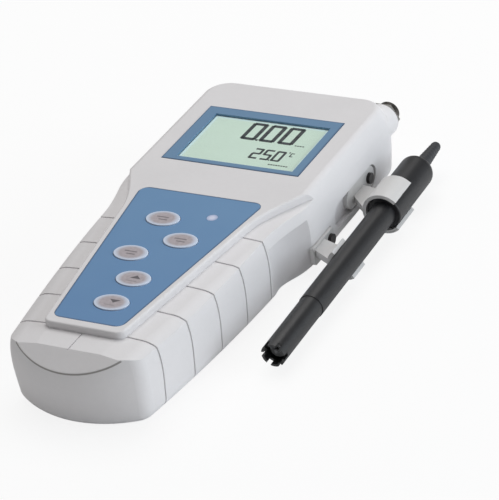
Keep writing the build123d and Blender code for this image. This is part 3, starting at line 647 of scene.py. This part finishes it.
# %% [markdown]
# ## The lower clip as a half ring
#
# The lower clip is a rest: half a ring under the tube, open towards the upper right, so nothing of it
# crosses the tube as the camera sees it. It is a ring, an arm and a foot. Each is a flat outline
# pushed to a depth. They could stay three meshes, but a Boolean union melts them into one closed one.

# %% Points on the probe's line
rim = Vector((67.4, 59.7, 11.6))
rise = math.radians(1.3)
ahead = Vector((0, math.cos(rise), math.sin(rise)))
over = Vector((0, -math.sin(rise), math.cos(rise)))


def by_probe(distance, radius, angle):
    """A point beside the probe's line: distance along it, radius and angle from the right, upwards."""
    out = Vector((1, 0, 0)) * math.cos(angle) + over * math.sin(angle)
    return (rim + ahead * distance + out * radius) * mm


def solid(name, rings, closed_ends=True):
    """A closed mesh through rings of the same number of points."""
    corners = [point for ring in rings for point in ring]
    count = len(rings[0])
    faces = []
    for step in range(len(rings) - 1):
        for i in range(count):
            j = (i + 1) % count
            here, there = step * count, (step + 1) * count
            faces.append([here + i, here + j, there + j, there + i])
    if closed_ends:
        faces.append(list(range(count))[::-1])
        faces.append([(len(rings) - 1) * count + i for i in range(count)])
    return piece_of(name, corners, faces)


def settled(piece):
    """The piece's mesh with its modifiers worked in, as its own new mesh."""
    bpy.context.view_layer.update()
    worked = piece.evaluated_get(bpy.context.evaluated_depsgraph_get())
    mesh = bpy.data.meshes.new_from_object(worked)
    piece.modifiers.clear()
    piece.data = mesh
    return mesh


# %% Ring, arm and foot
ring_inner, ring_wall = 6.25, 1.7
ring_span = (math.radians(128), math.radians(306))
ring_front, ring_rear = -45.0, -33.0
ring_steps = 40


def half_ring(distance):
    """The ring's outline at one distance along the probe."""
    whole = ring_span[1] - ring_span[0]
    turns = [ring_span[0] + whole * i / ring_steps for i in range(ring_steps + 1)]
    outer = [by_probe(distance, ring_inner + ring_wall, turn) for turn in turns]
    inner = [by_probe(distance, ring_inner, turn) for turn in reversed(turns)]
    return outer + inner


arm_level = 10.77
arm_half = 1.7
arm_outline = [(49.5, 21.0), (49.5, 31.0), (60.4, 26.7), (60.4, 14.8)]
foot_corner, corner_steps = 1.5, 6
foot_y, foot_z, foot_x = (19.0, 40.0), (4.5, 13.5), (48.4, 50.7)


def rounded(x):
    """The foot's outline at one depth, with round corners."""
    points = []
    for cy, cz, start in ((foot_y[1], foot_z[1], 0), (foot_y[0], foot_z[1], 90),
                          (foot_y[0], foot_z[0], 180), (foot_y[1], foot_z[0], 270)):
        inward_y = cy - foot_corner if cy == foot_y[1] else cy + foot_corner
        inward_z = cz - foot_corner if cz == foot_z[1] else cz + foot_corner
        for step in range(corner_steps):
            turn = math.radians(start + step * 90 / (corner_steps - 1))
            y, z = inward_y + foot_corner * math.cos(turn), inward_z + foot_corner * math.sin(turn)
            points.append(Vector((x, y, z)) * mm)
    return points


def arm_side(z):
    """The arm's outline at one level."""
    return [Vector((x, y, z)) * mm for x, y in arm_outline]


rest = solid("lower_rest", [half_ring(ring_front), half_ring(ring_rear)])
arm = solid("rest_arm", [arm_side(arm_level + arm_half), arm_side(arm_level - arm_half)])
foot = solid("rest_foot", [rounded(x) for x in foot_x])
for other in (arm, foot):
    union = rest.modifiers.new("melt", "BOOLEAN")
    union.operation = "UNION"
    union.solver = "EXACT"
    union.object = other
melted = settled(rest)
for other in (arm, foot):
    bpy.data.objects.remove(other)
melted.materials.clear()
melted.materials.append(clip_white)
for polygon in melted.polygons:
    polygon.material_index = 0
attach(rest, "housing")
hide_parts("lower_probe_clip")
print("half ring with", len(melted.polygons), "faces")

# %% [markdown]
# ## The strain relief
#
# A rubber sleeve keeps a cord from kinking where it leaves the cap. It tapers, and shallow ribs let it
# bend. A row of rings along the probe's line, with the radius swinging a little, makes the form.

# %% A tapered ribbed sleeve
relief_start, relief_end, plug_start = 42.0, 62.4, 38.2
relief_root, relief_tip, plug_radius = 3.9, 2.45, 3.3
rib_pitch, rib_depth = 2.3, 0.14
bore = 1.4
around, steps = 40, 72
foot_gap = 0.05


def circle(distance, radius):
    """A ring of points round the probe's line."""
    return [by_probe(distance, radius, math.tau * i / around) for i in range(around)]


def ribbed(distance):
    """The sleeve's radius at one distance along it, in millimetres."""
    share = (distance - relief_start) / (relief_end - relief_start)
    wave = 0.5 + 0.5 * math.cos(math.tau * (distance - relief_start) / rib_pitch)
    swing = rib_depth * min(1, share * 8) * wave
    return relief_root + (relief_tip - relief_root) * share ** 0.85 - rib_depth + swing


sleeve_foot = relief_start + foot_gap
sleeve_rings = [circle(plug_start, bore), circle(plug_start, plug_radius)]
sleeve_rings += [circle(sleeve_foot, plug_radius), circle(sleeve_foot, relief_root)]
for step in range(1, steps):
    distance = relief_start + foot_gap + (relief_end - 0.6 - relief_start) * step / steps
    sleeve_rings.append(circle(distance, ribbed(distance)))
for back, inward in ((0.25, 0.35), (0, 0.75)):
    sleeve_rings.append(circle(relief_end - back, relief_tip - inward))
sleeve_rings.append(circle(relief_end, bore))
sleeve = solid("relief_sleeve", sleeve_rings + [sleeve_rings[0]], closed_ends=False)
merged = sleeve.modifiers.new("weld", "WELD")
merged.merge_threshold = 1e-7
welded = settled(sleeve)
welded.materials.append(relief_rubber)
for polygon in welded.polygons:
    polygon.use_smooth = True
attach(sleeve, "probe")
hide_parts("strain_relief")
print("sleeve with", len(welded.polygons), "faces")

# %% [markdown]
# ## The studio
#
# A product picture like this one is lit by broad soft sources. One large cool lamp stands on the
# right, so the right flank is the brightest side, a gentle lamp hangs above, and little light reaches
# the nose. The floor looks white to the camera and still receives the object's soft shadow. More light
# would also do that, but would burn out the white housing, so the Light Path node lifts the floor.

# %% Lamps
def lamp(name, place, aim, size, power, colour):
    """A square soft lamp that looks at a point."""
    light = bpy.data.lights.new(name, "AREA")
    light.size = size
    light.energy = power
    light.color = colour
    carrier = bpy.data.objects.new(name, light)
    carrier.location = place
    carrier.rotation_euler = (Vector(aim) - Vector(place)).to_track_quat("-Z", "Y").to_euler()
    bpy.context.scene.collection.objects.link(carrier)
    return carrier


centre = (0.02, 0.0, 0.02)
lamp("right_softbox", (1.2, 0.25, 0.34), centre, 0.9, 10.2, (0.87, 0.94, 1.0))
lamp("top_softbox", (-0.15, 0.45, 1.15), centre, 1.0, 9.0, (1.0, 0.985, 0.975))
print("two soft lamps")

# %% Sky and floor
world = bpy.data.worlds.new("studio")
bpy.context.scene.world = world
world.use_nodes = True
sky = world.node_tree
sky_light = sky.nodes["Background"]
sky_light.inputs["Color"].default_value = (1.0, 1.0, 1.0, 1.0)
sky_light.inputs["Strength"].default_value = 0.24
seen = sky.nodes.new("ShaderNodeBackground")
seen.inputs["Strength"].default_value = 1.0
ray = sky.nodes.new("ShaderNodeLightPath")
either = sky.nodes.new("ShaderNodeMath")
either.operation = "MAXIMUM"
sky.links.new(ray.outputs["Is Camera Ray"], either.inputs[0])
sky.links.new(ray.outputs["Is Transmission Ray"], either.inputs[1])
both = sky.nodes.new("ShaderNodeMixShader")
sky.links.new(either.outputs[0], both.inputs[0])
sky.links.new(sky_light.outputs[0], both.inputs[1])
sky.links.new(seen.outputs[0], both.inputs[2])
sky.links.new(both.outputs[0], sky.nodes["World Output"].inputs["Surface"])


def pale_floor():
    """White paper that the camera sees a little brighter than the lamps alone would make it."""
    finish = Finish("pale_floor")
    tone = finish.blend(finish.noise(300), shade(250, 250, 250), shade(254, 254, 254))
    finish.set(Base_Color=tone, Roughness=0.9)
    seen_ray = finish.node("ShaderNodeLightPath", {}, {}, "Is Camera Ray")
    lift = finish.node("ShaderNodeEmission", {}, {"Strength": 1.0})
    paper = Wire(finish, finish.shader.outputs[0])
    mixed = finish.node("ShaderNodeMixShader", {}, {0: seen_ray * floor_lift, 1: paper, 2: lift})
    finish.links.new(mixed.socket, finish.nodes["Material Output"].inputs["Surface"])
    return finish.material


floor_level = plain_low.z - 0.1 * mm
floor_lift = 0.86
reach = 6.0
floor_corners = [(x * reach, y * reach, floor_level) for x, y in ((-1, -1), (1, -1), (1, 1), (-1, 1))]
floor = piece_of("floor", floor_corners, [[0, 1, 2, 3]], pale_floor())
print("floor at", round(floor_level / mm, 2), "mm")

# %% [markdown]
# ## The camera
#
# The photograph was taken from the right front, about thirty degrees above the table, with a long lens:
# the sides of the body barely converge. The camera is also rolled a little, so that the long instrument
# fits the square picture.

# %% A long lens from the right front
eye = Vector((0.54893972, -0.8594279, 0.62908568))
aim = Vector((-0.4431685, 0.73187692, -0.51764646)).normalized()
roll = math.radians(-8.455)
level_right = aim.cross(Vector((0, 0, 1))).normalized()
level_up = level_right.cross(aim)
right = level_right * math.cos(roll) + level_up * math.sin(roll)
up = right.cross(aim)
lens = bpy.data.cameras.new("camera")
lens.sensor_width = 36
lens.lens = 187.2
lens.clip_start = 0.05
camera = bpy.data.objects.new("camera", lens)
camera.matrix_world = Matrix((
    (right.x, up.x, -aim.x, eye.x), (right.y, up.y, -aim.y, eye.y),
    (right.z, up.z, -aim.z, eye.z), (0, 0, 0, 1)))
bpy.context.scene.collection.objects.link(camera)
bpy.context.scene.camera = camera
bpy.context.scene.view_settings.view_transform = "Standard"
print("camera", round(eye.length, 3), "m from the origin")
